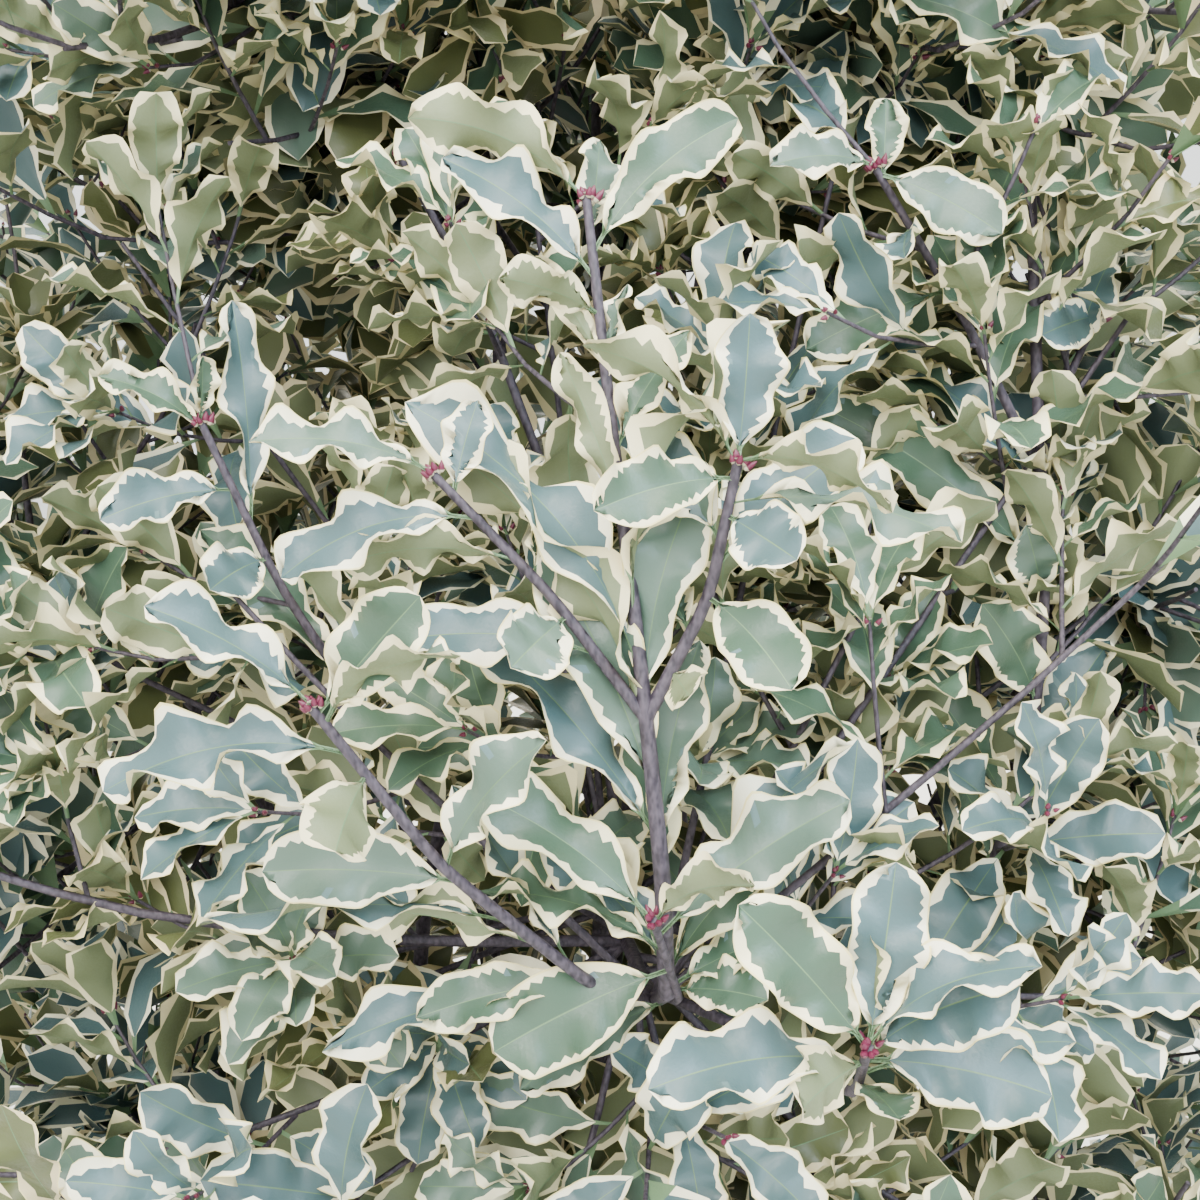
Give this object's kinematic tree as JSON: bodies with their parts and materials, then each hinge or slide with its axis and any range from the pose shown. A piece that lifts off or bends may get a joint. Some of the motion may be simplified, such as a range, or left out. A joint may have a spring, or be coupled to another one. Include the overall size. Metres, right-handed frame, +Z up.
{
  "type": "variegated pittosporum shrub",
  "caption": "Rounded evergreen garden shrub with wavy, cream-edged grey-green leaves on dark purple-grey stems, rising from a short trunk.",
  "frame": {"origin": "middle of the flat cut under the trunk, at ground level", "axes": "+Z up the plant, -Y towards the side that the picture shows, +X to that view's right"},
  "size_m": [1.2076, 1.2538, 1.3725],
  "materials": {
    "bark": "rough grey-brown bark with shallow furrows",
    "young_bark": "smooth plum-grey bark with small raised specks",
    "foliage": "smooth, slightly glossy leaves, grey-green with cream edges"
  },
  "bodies": {
    "root": {"trunk": "bark", "bough_1": "bark", "bough_2": "bark", "bough_3": "bark", "bough_4": "bark", "bough_5": "bark", "limb_low_1": "young_bark", "limb_low_2": "young_bark", "limb_low_3": "young_bark", "limb_low_4": "young_bark", "limb_low_5": "young_bark", "limb_mid_1": "young_bark", "limb_mid_2": "young_bark", "limb_mid_3": "young_bark", "limb_mid_4": "young_bark", "limb_mid_5": "young_bark", "limb_top_1": "young_bark", "limb_top_2": "young_bark", "limb_top_3": "young_bark", "limb_top_4": "young_bark", "limb_top_5": "young_bark", "foliage_low_1": "foliage", "foliage_low_2": "foliage", "foliage_low_3": "foliage", "foliage_low_4": "foliage", "foliage_low_5": "foliage", "foliage_mid_1": "foliage", "foliage_mid_2": "foliage", "foliage_mid_3": "foliage", "foliage_mid_4": "foliage", "foliage_mid_5": "foliage", "foliage_top_1": "foliage", "foliage_top_2": "foliage", "foliage_top_3": "foliage", "foliage_top_4": "foliage", "foliage_top_5": "foliage"}
  },
  "joints": []
}
